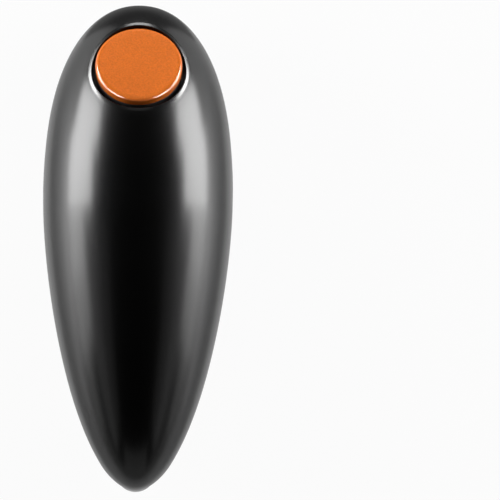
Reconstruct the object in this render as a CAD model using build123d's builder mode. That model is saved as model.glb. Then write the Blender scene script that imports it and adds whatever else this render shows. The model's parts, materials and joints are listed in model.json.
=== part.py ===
from build123d import *
import os
from math import acos, atan2, cos, degrees, pi, radians, sin, tan

# Hand-held battery can opener. Origin on the table under the middle of the body,
# +Z up, +Y towards the wide end that carries the button. Millimetres and degrees.

# Body: a teardrop turned about a lengthwise axis and cut flat underneath
body_length = 180.0
body_width = 70.0
nose_length = 75.0
nose_end_power = 2.58
nose_side_power = 2.11
tail_end_power = 1.57
tail_side_power = 1.95
outline_steps = 7
wall = 2.2
belly_depth = 18.0
stance = 7.0
belly_round = 2.5
tongue_height = 1.5
fit_gap = 0.15

# Start button and its well
button_radius = 16.0
button_back = 24.3
button_rise = -0.1
button_tilt = 27.0
button_crown = 0.7
button_edge = 1.1
button_cap = 2.4
cap_height = 4.0
base_radius = 15.6
base_plate = 2.4
button_skirt = 9.2
skirt_wall = 1.8
flange_thick = 2.0
flange_reach = 0.8
flange_play = 0.2
well_gap = 1.2
well_lip = 1.1
sleeve_wall = 1.6
press_travel = 2.0
stem_radius = 3.0
stem_depth = 10.0
spring_radius = 7.2
spring_wire = 0.9
spring_turns = 5

# Switch and its board
switch_size = 8.0
switch_height = 5.0
switch_corner = 1.0
plunger_radius = 1.7
plunger_spare = 0.5
plunger_gap = 0.1
board_width = 48.5
board_length = 24.0
board_thick = 1.6
board_corner = 3.0
board_screw_x = 21.4
board_boss_radius = 2.6

# Screws
nose_screw_back = 6.2
side_screws = [(25.5, -1.0), (21.6, -33.0)]
case_boss_radius = 3.4
nose_boss_rise = 7.0
case_grip = 5.0
case_screw_length = 10.0
head_radius = 2.4
head_height = 1.7
shank_radius = 1.25
hole_gap = 0.05
head_gap = 0.3
slot_width = 0.7
slot_depth = 0.8
board_screw_length = 6.0
motor_screw_length = 3.2

# Can rim drive: knurled wheel on the spindle, cutting wheel on an eccentric turntable
carrier_back = 45.0
eccentricity = 6.5
closed_angle = 31.0
carrier_swing = 100.0
drive_wheel_radius = 5.0
drive_wheel_teeth = 28
knurl_depth = 0.45
drive_wheel_drop = 0.5
drive_wheel_thick = 3.1
cutter_radius = 8.0
cutter_thick = 1.3
cutter_bevel = 0.9
cutter_bite = 0.4
cutter_step = 0.25
carrier_radius = 22.2
carrier_flange = 24.2
carrier_flange_thick = 2.0
carrier_bore = 11.7
carrier_gap = 0.3
clutch_edge = 1.0
axle_radius = 2.5
collar_radius = 4.2
stop_angle = 8.0
stop_depth = 1.9
guard_gap = 0.7
guard_thick = 2.5
guard_round = 0.8
guard_span = 76.0
magnet_back = 34.0
magnet_radius = 5.6
magnet_thick = 3.0
magnet_post_drop = 3.4
magnet_post_wall = 1.4

# Gear train: spur stages stepping down from the motor pinion to the output gear
pressure_angle = 25.0
root_depth = 1.25
backlash = 0.05
pinion_teeth = 12
wheel_1_teeth = 40
wheel_2_teeth = 40
wheel_3_teeth = 36
output_teeth = 33
fine_module = 0.5
middle_module = 0.6
coarse_module = 0.8
heading_3 = -30.0
heading_2 = 50.0
heading_1 = -55.0
heading_motor = 14.0
tooth_width = 2.5
layer_gap = 0.3
axle_pin_radius = 1.0
axle_shoulder = 1.7
run_gap = 0.05
spindle_radius = 3.0
spindle_neck = 2.0
bush_wall = 1.4
bush_flange = 1.2
bush_flange_thick = 0.3
hub_radius = 5.0
hub_height = 2.5
clip_reach = 2.0
clip_thick = 0.6
clip_groove = 0.5
spindle_end = 0.8

# Gear frame plates and pillars
plate_lift = 3.0
plate_thick = 1.6
plate_margin = 3.3
pillar_radius = 3.0
rear_pillar = (14.5, -49.0)
front_pillar = (18.0, 21.5)
post_radius = 2.8

# Motor
motor_radius = 12.0
motor_flat = 10.0
motor_length = 25.0
can_wall = 0.8
motor_boss_radius = 3.1
end_cap_thick = 2.0
end_boss_radius = 3.2
end_boss_height = 1.5
shaft_radius = 1.0
magnet_arc = 100.0
motor_magnet_thick = 1.8
motor_magnet_length = 16.0
armature_gap = 0.5
armature_length = 13.0
armature_slot = 2.6
armature_hub = 4.5
armature_start = 4.5
commutator_radius = 3.2
commutator_length = 3.5
motor_screw_x = 7.5
terminal_x = 6.0
terminal_width = 2.2
terminal_thick = 0.5
terminal_height = 4.5

# Battery bay
cell_radius = 7.25
cell_length = 50.5
cell_edge = 0.7
cell_nub_radius = 2.75
cell_nub_height = 1.0
cell_gap = 0.7
cell_lift = 2.8
bay_reach = 76.5
spring_space = 4.2
contact_thick = 0.4
contact_width = 9.0
contact_height = 10.0
contact_wire = 0.7
contact_coil = 4.2
contact_turns = 3
tray_wall = 1.4
tray_gap = 0.3
tray_front_clear = 4.0
cover_half_width = 16.0
cover_top = 13.0
knuckle_radius = 1.6
knuckle_gap = 0.3
case_knuckle = 12.0
cover_knuckle = 6.0
hinge_pin_radius = 0.8
heel_width = 15.0
heel_length = 24.0
heel_reach = 33.0
heel_round = 2.0
heel_corner = 5.0
tab_width = 10.0
tab_end = 0.5
tab_low = 7.5
tab_round = 7.5

# Leads
lead_radius = 0.65
lead_gap = 0.1
bend_share = 0.45
lead_x = 8.0
terminal_run = 11.5
black_lift = 0.6
motor_lift = -0.2
tag_drop = 7.0
red_tag = (-15.0, -8.0)
motor_tag = (-8.0, -9.0)
red_rise = [(-1.0, 0.0, 7.0)]
black_rise = [(1.0, -0.5, 8.0), (0.0, 0.5, 18.0)]
red_bends = [(-18.1, -7.4, 38.0), (-20.6, 10.6, 38.0), (-20.1, 27.6, 35.0)]
motor_bends = [(-7.6, 32.6, 38.5), (-6.6, 22.1, 46.5)]

# Levels and places that follow from the sizes above
on_base = (Align.CENTER, Align.CENTER, Align.MIN)
ahead = (Align.CENTER, Align.MIN, Align.CENTER)
behind = (Align.CENTER, Align.MAX, Align.CENTER)
across = (0, 90, 0)
nose_y = body_length / 2
tail_y = -body_length / 2
widest_y = nose_y - nose_length
button_y = nose_y - button_back
carrier_y = nose_y - carrier_back
magnet_y = carrier_y - magnet_back
bay_front_y = tail_y + bay_reach
heel_y = tail_y + heel_reach
case_screw_points = [(0.0, nose_y - nose_screw_back)]
case_screw_points += [(side * x, widest_y + y) for x, y in side_screws for side in (1, -1)]
tail_length = body_length - nose_length
belly_z = stance
floor_z = belly_z + wall
part_z = belly_z + belly_depth
plate_low_z = floor_z + plate_lift
gear_low_z = plate_low_z + plate_thick + layer_gap
plate_high_z = gear_low_z + 4 * (tooth_width + layer_gap)
motor_z = plate_high_z + plate_thick
well_radius = button_radius + well_gap
pin_hole = axle_pin_radius + hole_gap
screw_hole = shank_radius + hole_gap
head_seat_z = part_z - case_grip


def reach(y, inset=0.0):
    """Half-width of the body at a place along its length, drawn in by inset."""
    if y > widest_y:
        share = (y - widest_y) / (nose_length - inset)
        end_power = nose_end_power
        side_power = nose_side_power
    else:
        share = (widest_y - y) / (tail_length - inset)
        end_power = tail_end_power
        side_power = tail_side_power
    return (body_width / 2 - inset) * max(0.0, 1 - share**end_power) ** (1 / side_power)


def plan(inset):
    """Outline of the body seen from above, drawn in by inset."""
    half = body_width / 2 - inset
    points = []
    for count in range(outline_steps):
        turn = pi / 2 * count / outline_steps
        along = (nose_length - inset) * cos(turn) ** (2 / nose_end_power)
        points.append((half * sin(turn) ** (2 / nose_side_power), widest_y + along))
    for count in range(outline_steps):
        turn = pi / 2 * count / outline_steps
        along = (tail_length - inset) * sin(turn) ** (2 / tail_end_power)
        points.append((half * cos(turn) ** (2 / tail_side_power), widest_y - along))
    mirrored = [(-x, y) for x, y in points[:0:-1]]
    with BuildSketch() as outline:
        with BuildLine():
            Spline(*points, (0.0, tail_y + inset), *mirrored, periodic=True)
        make_face()
    return outline.sketch


def egg(inset, arc=360, way=1):
    """Teardrop of revolution drawn in by inset: whole, or its lower (1) or upper (-1) half."""
    with BuildPart() as body:
        with BuildSketch(Plane.XY.offset(part_z)):
            add(plan(inset))
            Rectangle(body_width, 2 * body_length, align=(Align.MAX, Align.CENTER), mode=Mode.SUBTRACT)
        revolve(axis=Axis((0, 0, part_z), (0, way, 0)), revolution_arc=arc)
    return body.part


def rod(at, low, high, radius, mode=Mode.ADD):
    """Upright cylinder at a plan point, from one height to another."""
    with Locations((at[0], at[1], low)):
        Cylinder(radius, high - low, align=on_base, mode=mode)


def slab(width, y_low, y_high, low, high, mode=Mode.ADD):
    """Block centred across the body, between two places along it and two heights."""
    with Locations((0, (y_low + y_high) / 2, low)):
        Box(width, y_high - y_low, high - low, align=on_base, mode=mode)


def screw(length):
    """Pan-head screw pointing up, with the underside of its head at the origin."""
    with BuildPart() as body:
        Cylinder(head_radius, head_height, align=(Align.CENTER, Align.CENTER, Align.MAX))
        fillet(body.faces().sort_by(Axis.Z)[0].edges(), head_height / 2)
        Cylinder(shank_radius, length, align=on_base)
        with Locations((0, 0, -head_height)):
            Box(2 * shank_radius, slot_width, slot_depth, align=on_base, mode=Mode.SUBTRACT)
            Box(slot_width, 2 * shank_radius, slot_depth, align=on_base, mode=Mode.SUBTRACT)
    return body.part


def away(start, distance, heading):
    """Plan point a distance away, on a heading turned from -Y towards +X."""
    turn = radians(heading)
    return (start[0] + distance * sin(turn), start[1] - distance * cos(turn))


def bearing(start, end):
    """Angle of the line from one plan point to another."""
    return degrees(atan2(end[1] - start[1], end[0] - start[0]))


def polar(radius, angle):
    """Point at a radius and an angle about the origin."""
    return (radius * cos(angle), radius * sin(angle))


def gear(teeth, module, tooth_at):
    """Spur gear outline about the origin, with a tooth on the line at tooth_at degrees."""
    pitch = module * teeth / 2
    tip = pitch + module
    root = pitch - root_depth * module
    base = pitch * cos(radians(pressure_angle))
    start = max(base, root)
    middle = (start + tip) / 2
    half_tooth = pi / (2 * teeth) - backlash / pitch / 2

    def spread(radius):
        """Half the angle that a tooth covers at a radius on its involute flank."""
        there = acos(base / radius)
        at_pitch = radians(pressure_angle)
        return half_tooth + tan(at_pitch) - at_pitch - tan(there) + there

    with BuildSketch() as outline:
        with BuildLine():
            for tooth in range(teeth):
                axis = radians(tooth_at) + 2 * pi * tooth / teeth
                after = axis + 2 * pi / teeth
                foot = spread(start)
                waist = spread(middle)
                crest = spread(tip)
                near_foot = polar(start, axis - foot)
                far_foot = polar(start, axis + foot)
                near_crest = polar(tip, axis - crest)
                far_crest = polar(tip, axis + crest)
                if root < base:
                    Line(polar(root, axis - foot), near_foot)
                    Line(far_foot, polar(root, axis + foot))
                ThreePointArc(near_foot, polar(middle, axis - waist), near_crest)
                ThreePointArc(near_crest, polar(tip, axis), far_crest)
                ThreePointArc(far_crest, polar(middle, axis + waist), far_foot)
                low = min(root, start)
                ThreePointArc(
                    polar(low, axis + foot),
                    polar(low, (axis + after) / 2),
                    polar(low, after - foot),
                )
        make_face()
    return outline.sketch


def layer_z(layer):
    """Underside of a gear layer, counted up from the output gear's."""
    return gear_low_z + layer * (tooth_width + layer_gap)


def coil(radius, wire, turns, length):
    """Coil spring standing on the origin along +Z, wire centres half a wire inside its ends."""
    rise = length - wire
    with BuildPart() as body:
        with BuildLine():
            path = Helix(rise / turns, rise, radius, center=(0, 0, wire / 2))
        with BuildSketch(Plane(origin=path @ 0, z_dir=path % 0)):
            Circle(wire / 2)
        sweep(is_frenet=True)
    return body.part


def lead(points):
    """Insulated wire through a route of points, with rounded bends."""
    with BuildPart() as body:
        with BuildLine():
            path = FilletPolyline(*points, radius=lead_bend(points))
        with BuildSketch(Plane(origin=path @ 0, z_dir=path % 0)):
            Circle(lead_radius)
        sweep()
    return body.part


def lead_bend(points):
    """Largest bend that every run of a route can hold."""
    runs = [Vector(*b).sub(Vector(*a)) for a, b in zip(points, points[1:])]
    room = []
    for first, second in zip(runs, runs[1:]):
        turn = radians(first.get_angle(second))
        room.append(bend_share * min(first.length, second.length) / tan(turn / 2))
    return min(room)


os.makedirs("parts", exist_ok=True)

# Button frame: origin at the middle of the face, axis leaning towards the nose
button_z = part_z + reach(button_y) + button_rise
button_axis = (0, sin(radians(button_tilt)), cos(radians(button_tilt)))
button_plane = Plane(origin=(0, button_y, button_z), x_dir=(1, 0, 0), z_dir=button_axis)
button_section = Plane(
    origin=(0, button_y, button_z),
    x_dir=(1, 0, 0),
    z_dir=(0, -cos(radians(button_tilt)), sin(radians(button_tilt))),
)
sleeve_depth = button_skirt - flange_play
board_depth = stem_depth + plunger_gap + press_travel + plunger_spare + switch_height
board_screw_seat = board_depth + board_thick

# Gear axes, from the drive spindle back to the motor
carrier_at = (0.0, carrier_y)
closed = radians(closed_angle)
drive_at = (eccentricity * cos(closed), carrier_y + eccentricity * sin(closed))
gear_3_at = away(drive_at, coarse_module * (pinion_teeth + output_teeth) / 2, heading_3)
gear_2_at = away(gear_3_at, middle_module * (pinion_teeth + wheel_3_teeth) / 2, heading_2)
gear_1_at = away(gear_2_at, fine_module * (pinion_teeth + wheel_2_teeth) / 2, heading_1)
motor_at = away(gear_1_at, fine_module * (pinion_teeth + wheel_1_teeth) / 2, heading_motor)
post_points = [(side * x, carrier_y + y) for x, y in (rear_pillar, front_pillar) for side in (1, -1)]

# Cutter levels, under the belly
cutter_orbit = eccentricity + drive_wheel_radius + cutter_radius - cutter_bite
open_turn = closed + radians(carrier_swing)
cutter_at = (cutter_orbit * cos(open_turn), carrier_y + cutter_orbit * sin(open_turn))
drive_top_z = belly_z - drive_wheel_drop
drive_low_z = drive_top_z - drive_wheel_thick
cutter_top_z = drive_low_z - cutter_step
cutter_low_z = cutter_top_z - cutter_thick
axle_end_z = cutter_low_z - run_gap
carrier_lip_z = floor_z + carrier_gap
carrier_top_z = carrier_lip_z + carrier_flange_thick

# Shared raw shapes: the filled lower body, and the room inside it above the floor
with BuildPart() as lower_block:
    add(egg(0, 180))
    split(bisect_by=Plane.XY.offset(belly_z), keep=Keep.TOP)
    fillet(lower_block.faces().filter_by(GeomType.PLANE).sort_by(Axis.Z)[0].edges(), belly_round)

with BuildPart() as lower_room:
    add(egg(wall, 180))
    split(bisect_by=Plane.XY.offset(floor_z), keep=Keep.TOP)

with BuildPart() as case_bosses:
    for point in case_screw_points[1:]:
        rod(point, belly_z, part_z + body_width / 2, case_boss_radius)
    rod(case_screw_points[0], belly_z, part_z + nose_boss_rise, case_boss_radius)
    add(egg(wall / 2), mode=Mode.INTERSECT)

with BuildPart() as button_sleeve:
    with BuildSketch(button_plane.offset(-sleeve_depth)):
        Circle(well_radius + sleeve_wall)
    extrude(amount=2 * sleeve_depth)
    with BuildSketch(button_plane.offset(-board_depth)):
        with Locations((board_screw_x, 0), (-board_screw_x, 0)):
            Circle(board_boss_radius)
    extrude(amount=2 * board_depth)
    add(egg(wall / 2), mode=Mode.INTERSECT)

with BuildPart() as seam_tongue:
    with BuildSketch(Plane.XY.offset(part_z)):
        add(plan(wall / 2 + fit_gap))
        add(plan(wall - fit_gap), mode=Mode.SUBTRACT)
    extrude(amount=tongue_height)
    rod(case_screw_points[0], part_z, part_z + tongue_height, case_boss_radius + fit_gap, Mode.SUBTRACT)

# Upper casing
with BuildPart() as upper_casing:
    add(egg(0, 180, -1))
    add(egg(wall, 180, -1), mode=Mode.SUBTRACT)
    with BuildSketch(Plane.XY.offset(part_z)):
        add(plan(wall / 2))
    extrude(amount=tongue_height + fit_gap, mode=Mode.SUBTRACT)
    add(button_sleeve.part)
    with BuildSketch(button_plane.offset(-sleeve_depth)):
        Circle(well_radius)
    extrude(amount=2 * sleeve_depth, mode=Mode.SUBTRACT)
    bores = upper_casing.faces().filter_by(GeomType.CYLINDER)
    bore = bores.sort_by(lambda face: abs(face.radius - well_radius))[0]
    fillet(bore.edges().sort_by(Axis(button_plane.origin, button_plane.z_dir))[-1], well_lip)
    add(split(case_bosses.part, bisect_by=Plane.XY.offset(part_z), keep=Keep.TOP, mode=Mode.PRIVATE))
    for point in case_screw_points:
        rod(point, part_z, part_z + case_screw_length - case_grip + head_gap, screw_hole, Mode.SUBTRACT)
    with BuildSketch(button_plane.offset(-board_depth)):
        with Locations((board_screw_x, 0), (-board_screw_x, 0)):
            Circle(screw_hole)
    extrude(amount=board_screw_length, mode=Mode.SUBTRACT)
upper_casing.part.label = "upper_casing"
export_step(upper_casing.part, "parts/upper_casing.step")

# Lower casing
guard_radius = cutter_orbit + cutter_radius + guard_gap + guard_thick / 2
guard_line = CenterArc(carrier_at, guard_radius, 90 - guard_span / 2, guard_span)
stop_radius = carrier_flange + carrier_gap - stop_depth / 2
stop_line = CenterArc(carrier_at, stop_radius, -90 - stop_angle / 2, stop_angle)
cover_front = bay_front_y + tray_wall - fit_gap
hinge_y = cover_front + fit_gap / 2
knuckle_x = (case_knuckle + cover_knuckle) / 2 + knuckle_gap
knuckle_room = 2 * (knuckle_radius + knuckle_gap)
with BuildPart() as lower_casing:
    add(lower_block.part)
    with BuildSketch(Plane.XY.offset(belly_z + wall / 2)):
        SlotArc(guard_line, guard_thick + 2 * hole_gap)
    extrude(amount=-belly_z, mode=Mode.SUBTRACT)
    rod((0, magnet_y), belly_z - magnet_post_drop, floor_z, magnet_radius + fit_gap + magnet_post_wall)
    add(lower_room.part, mode=Mode.SUBTRACT)
    add(split(case_bosses.part, bisect_by=Plane.XY.offset(part_z), keep=Keep.BOTTOM, mode=Mode.PRIVATE))
    add(seam_tongue.part)
    for point in post_points:
        rod(point, floor_z, plate_low_z, post_radius)
    rod(carrier_at, 0, floor_z, carrier_radius + carrier_gap, Mode.SUBTRACT)
    with BuildSketch(Plane.XY.offset(floor_z)):
        SlotArc(stop_line, stop_depth)
    extrude(amount=plate_lift - layer_gap)
    slab(2 * cover_half_width, tail_y - wall, bay_front_y + tray_wall, 0, belly_z + cover_top, Mode.SUBTRACT)
    for x in (knuckle_x, -knuckle_x):
        with Locations((x, hinge_y, 0)):
            Box(cover_knuckle + 2 * knuckle_gap, knuckle_room, floor_z, align=on_base, mode=Mode.SUBTRACT)
    with Locations((0, hinge_y, belly_z)):
        Cylinder(knuckle_radius, case_knuckle, rotation=across)
        Cylinder(hinge_pin_radius + hole_gap, case_knuckle, rotation=across, mode=Mode.SUBTRACT)
    rod((0, magnet_y), 0, belly_z - magnet_post_drop + magnet_thick, magnet_radius + fit_gap, Mode.SUBTRACT)
    for point in case_screw_points:
        rod(point, 0, head_seat_z, head_radius + head_gap, Mode.SUBTRACT)
        rod(point, 0, part_z + tongue_height, screw_hole, Mode.SUBTRACT)
    for point in post_points:
        rod(point, floor_z - wall / 2, plate_low_z, screw_hole, Mode.SUBTRACT)
lower_casing.part.label = "lower_casing"
export_step(lower_casing.part, "parts/lower_casing.step")

# Rim guard: a low skirt round the cutter, seated in a groove of the belly
with BuildPart() as rim_guard:
    with BuildSketch(Plane.XY):
        SlotArc(guard_line, guard_thick)
    extrude(amount=belly_z + wall / 2 - hole_gap)
    fillet(rim_guard.faces().sort_by(Axis.Z)[0].edges(), guard_round)
rim_guard.part.label = "rim_guard"
export_step(rim_guard.part, "parts/rim_guard.step")

# Battery cover: a piece of the lower skin with hinge knuckles, a heel and a thumb tab
cover_width = 2 * (cover_half_width - fit_gap)
tab_length = 2 * wall + reach(tail_y + tab_end)
with BuildPart() as cover_window:
    slab(cover_width, tail_y - wall, cover_front, 0, belly_z + cover_top - fit_gap)

with BuildPart() as battery_cover:
    add(lower_block.part)
    add(cover_window.part, mode=Mode.INTERSECT)
    with BuildSketch(Plane.XY):
        with Locations((0, heel_y)):
            RectangleRounded(heel_width, heel_length, heel_corner)
    heel = extrude(amount=belly_z + 2 * wall)
    fillet(heel.faces().sort_by(Axis.Z)[0].edges(), heel_round)
    with BuildSketch(Plane.XY.offset(belly_z + tab_low)):
        with Locations((0, tail_y + tab_end)):
            Rectangle(tab_width, tab_length, align=(Align.CENTER, Align.MIN))
        with Locations((0, tail_y + tab_end + tab_round)):
            Circle(tab_round, mode=Mode.INTERSECT)
    extrude(amount=cover_top - fit_gap - tab_low)
    add(lower_room.part, mode=Mode.SUBTRACT)
    with Locations((0, hinge_y, 0)):
        Box(case_knuckle + 2 * knuckle_gap, knuckle_room, floor_z, align=on_base, mode=Mode.SUBTRACT)
    with Locations((knuckle_x, hinge_y, belly_z), (-knuckle_x, hinge_y, belly_z)):
        Cylinder(knuckle_radius, cover_knuckle, rotation=across)
        Cylinder(hinge_pin_radius + hole_gap, cover_knuckle, rotation=across, mode=Mode.SUBTRACT)
battery_cover.part.label = "battery_cover"
export_step(battery_cover.part, "parts/battery_cover.step")

# Hinge pin of the cover
with BuildPart() as hinge_pin:
    with Locations((0, hinge_y, belly_z)):
        Cylinder(hinge_pin_radius, case_knuckle + 2 * (cover_knuckle + knuckle_gap), rotation=across)
hinge_pin.part.label = "hinge_pin"
export_step(hinge_pin.part, "parts/hinge_pin.step")

# Case screws, up from the belly into the upper bosses
with BuildPart() as case_screws:
    with Locations([(x, y, head_seat_z) for x, y in case_screw_points]):
        add(screw(case_screw_length))
case_screws.part.label = "case_screws"
export_step(case_screws.part, "parts/case_screws.step")

# Start button: crowned cap over a base with a skirt, a catch flange and a stem over the switch
cap_recess = button_radius - skirt_wall
base_top = -button_cap - hole_gap
skirt_top = -cap_height - hole_gap
base_under = base_top - base_plate
with BuildPart() as start_button:
    with BuildSketch(button_section):
        with BuildLine():
            Polyline(
                (0, 0),
                (0, -button_cap),
                (cap_recess, -button_cap),
                (cap_recess, -cap_height),
                (button_radius, -cap_height),
                (button_radius, -button_crown),
            )
            crown = button_crown / 4
            ThreePointArc((button_radius, -button_crown), (button_radius / 2, -crown), (0, 0))
        make_face()
    revolve(axis=Axis(button_plane.origin, button_plane.z_dir))
    rims = start_button.edges().filter_by(GeomType.CIRCLE)
    fillet(rims.filter_by(lambda e: abs(e.radius - button_radius) < 1e-3).sort_by(Axis.Z)[-1], button_edge)
start_button.part.label = "start_button"
export_step(start_button.part, "parts/start_button.step")

with BuildPart() as button_base:
    with BuildSketch(button_section):
        with BuildLine():
            Polyline(
                (0, base_top),
                (cap_recess - hole_gap, base_top),
                (cap_recess - hole_gap, skirt_top),
                (base_radius, skirt_top),
                (base_radius, -button_skirt),
                (well_radius + flange_reach, -button_skirt),
                (well_radius + flange_reach, -button_skirt - flange_thick),
                (base_radius - skirt_wall, -button_skirt - flange_thick),
                (base_radius - skirt_wall, base_under),
                (stem_radius, base_under),
                (stem_radius, -stem_depth),
                (0, -stem_depth),
                close=True,
            )
        make_face()
    revolve(axis=Axis(button_plane.origin, button_plane.z_dir))
button_base.part.label = "button_base"
export_step(button_base.part, "parts/button_base.step")

# Switch: plunger under the stem, body on the board, return spring round it
switch_plane = button_plane.offset(-board_depth)
plunger_top = stem_depth + plunger_gap
with BuildPart() as switch_plunger:
    with BuildSketch(button_plane.offset(-board_depth + switch_height - press_travel)):
        Circle(plunger_radius)
    extrude(amount=board_depth - switch_height + press_travel - plunger_top)
switch_plunger.part.label = "switch_plunger"
export_step(switch_plunger.part, "parts/switch_plunger.step")

with BuildPart() as switch_body:
    with BuildSketch(switch_plane):
        RectangleRounded(switch_size, switch_size, switch_corner)
    extrude(amount=switch_height)
    with BuildSketch(switch_plane.offset(plunger_spare)):
        Circle(plunger_radius + run_gap)
    extrude(amount=switch_height, mode=Mode.SUBTRACT)
switch_body.part.label = "switch_body"
export_step(switch_body.part, "parts/switch_body.step")

spring_length = board_depth + base_under - 2 * fit_gap
with BuildPart() as button_spring:
    with Locations(switch_plane.offset(fit_gap).location):
        add(coil(spring_radius, spring_wire, spring_turns, spring_length))
button_spring.part.label = "button_spring"
export_step(button_spring.part, "parts/button_spring.step")

with BuildPart() as switch_board:
    with BuildSketch(switch_plane):
        RectangleRounded(board_width, board_length, board_corner)
        with Locations((board_screw_x, 0), (-board_screw_x, 0)):
            Circle(screw_hole, mode=Mode.SUBTRACT)
    extrude(amount=-board_thick)
switch_board.part.label = "switch_board"
export_step(switch_board.part, "parts/switch_board.step")

board_screw_plane = button_plane.offset(-board_screw_seat)
with BuildPart() as board_screws:
    with Locations(*[board_screw_plane.shift_origin(board_screw_plane.from_local_coords((x, 0, 0))).location
                     for x in (board_screw_x, -board_screw_x)]):
        add(screw(board_screw_length))
board_screws.part.label = "board_screws"
export_step(board_screws.part, "parts/board_screws.step")

# Cutter carrier: turntable let into the belly, with a flange and a stop notch
notch_span = carrier_swing + 2 * stop_angle
notch_line = CenterArc(carrier_at, carrier_flange, -90 - stop_angle, notch_span)
with BuildPart() as cutter_carrier:
    rod(carrier_at, belly_z, carrier_top_z, carrier_radius)
    rod(carrier_at, carrier_lip_z, carrier_top_z, carrier_flange)
    rod(carrier_at, 0, carrier_top_z, carrier_bore, Mode.SUBTRACT)
    with BuildSketch(Plane.XY.offset(carrier_lip_z)):
        SlotArc(notch_line, 2 * (stop_depth + fit_gap))
    extrude(amount=carrier_flange_thick, mode=Mode.SUBTRACT)
    rod(cutter_at, 0, carrier_top_z, axle_radius + hole_gap, Mode.SUBTRACT)
cutter_carrier.part.label = "cutter_carrier"
export_step(cutter_carrier.part, "parts/cutter_carrier.step")

# Cutter: axle with a collar, bevelled cutting wheel, and the screw that keeps it on
with BuildPart() as cutter_axle:
    rod(cutter_at, axle_end_z, carrier_top_z, axle_radius)
    rod(cutter_at, cutter_top_z + run_gap, belly_z, collar_radius)
    rod(cutter_at, axle_end_z, axle_end_z + motor_screw_length + head_gap, screw_hole, Mode.SUBTRACT)
cutter_axle.part.label = "cutter_axle"
export_step(cutter_axle.part, "parts/cutter_axle.step")

with BuildPart() as cutting_wheel:
    rod(cutter_at, cutter_low_z, cutter_top_z, cutter_radius)
    rims = cutting_wheel.edges().filter_by(GeomType.CIRCLE)
    chamfer(rims.sort_by(Axis.Z)[0], length=cutter_bevel, length2=2 * cutter_bevel)
    rod(cutter_at, cutter_low_z, cutter_top_z, axle_radius + run_gap, Mode.SUBTRACT)
cutting_wheel.part.label = "cutting_wheel"
export_step(cutting_wheel.part, "parts/cutting_wheel.step")

with BuildPart() as cutter_screw:
    with Locations((cutter_at[0], cutter_at[1], axle_end_z)):
        add(screw(motor_screw_length))
cutter_screw.part.label = "cutter_screw"
export_step(cutter_screw.part, "parts/cutter_screw.step")

# Drive spindle with its wheel, clutch ring, bushes and clip
spindle_top_z = motor_z + bush_flange_thick + run_gap + clip_thick + spindle_end
clip_low_z = motor_z + bush_flange_thick + run_gap
clip_mouth = 2 * (spindle_radius - 2 * clip_groove)
clip_slot = 2 * spindle_radius + clip_reach
with BuildPart() as drive_spindle:
    rod(drive_at, drive_top_z, spindle_top_z, spindle_radius)
    rod(drive_at, drive_low_z, drive_top_z, spindle_neck)
    rod(drive_at, drive_low_z, drive_low_z + motor_screw_length + head_gap, screw_hole, Mode.SUBTRACT)
    with BuildSketch(Plane.XY.offset(clip_low_z)):
        with Locations(drive_at):
            Circle(spindle_radius)
            Circle(spindle_radius - clip_groove, mode=Mode.SUBTRACT)
    extrude(amount=clip_thick, mode=Mode.SUBTRACT)
drive_spindle.part.label = "drive_spindle"
export_step(drive_spindle.part, "parts/drive_spindle.step")

with BuildPart() as drive_wheel:
    with BuildSketch(Plane.XY.offset(drive_low_z)):
        with BuildLine():
            knurl = []
            for count in range(2 * drive_wheel_teeth):
                radius = drive_wheel_radius - knurl_depth * (count % 2)
                x, y = polar(radius, pi * count / drive_wheel_teeth)
                knurl.append((drive_at[0] + x, drive_at[1] + y))
            Polyline(*knurl, close=True)
        make_face()
        with Locations(drive_at):
            Circle(spindle_neck + hole_gap, mode=Mode.SUBTRACT)
    extrude(amount=drive_wheel_thick)
drive_wheel.part.label = "drive_wheel"
export_step(drive_wheel.part, "parts/drive_wheel.step")

with BuildPart() as drive_wheel_screw:
    with Locations((drive_at[0], drive_at[1], drive_low_z)):
        add(screw(motor_screw_length))
drive_wheel_screw.part.label = "drive_wheel_screw"
export_step(drive_wheel_screw.part, "parts/drive_wheel_screw.step")

clutch_radius = carrier_bore - eccentricity - carrier_gap
with BuildPart() as clutch_ring:
    rod(drive_at, belly_z + carrier_gap, carrier_top_z, clutch_radius)
    fillet(clutch_ring.edges().filter_by(GeomType.CIRCLE), clutch_edge)
    rod(drive_at, belly_z, carrier_top_z, spindle_radius + hole_gap, Mode.SUBTRACT)
clutch_ring.part.label = "clutch_ring"
export_step(clutch_ring.part, "parts/clutch_ring.step")

bush_radius = spindle_radius + bush_wall
with BuildPart() as spindle_bushes:
    for low in (plate_low_z, plate_high_z):
        rod(drive_at, low, low + plate_thick + bush_flange_thick, bush_radius)
        rod(drive_at, low + plate_thick, low + plate_thick + bush_flange_thick, bush_radius + bush_flange)
    rod(drive_at, plate_low_z, spindle_top_z, spindle_radius + run_gap, Mode.SUBTRACT)
spindle_bushes.part.label = "spindle_bushes"
export_step(spindle_bushes.part, "parts/spindle_bushes.step")

with BuildPart() as spindle_clip:
    with BuildSketch(Plane.XY.offset(clip_low_z)):
        with Locations(drive_at):
            Circle(spindle_radius + clip_reach)
            Circle(spindle_radius - clip_groove + hole_gap, mode=Mode.SUBTRACT)
            Rectangle(clip_mouth, clip_slot, align=(Align.CENTER, Align.MIN), mode=Mode.SUBTRACT)
    extrude(amount=clip_thick - hole_gap)
spindle_clip.part.label = "spindle_clip"
export_step(spindle_clip.part, "parts/spindle_clip.step")

# Gear frame: two plates on pillars, holding the axles and bushes
with BuildSketch() as plate_outline:
    for point in post_points:
        with Locations(point):
            Circle(plate_margin)
    with Locations(motor_at):
        Circle(motor_radius + plate_thick)
    make_hull()

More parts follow.
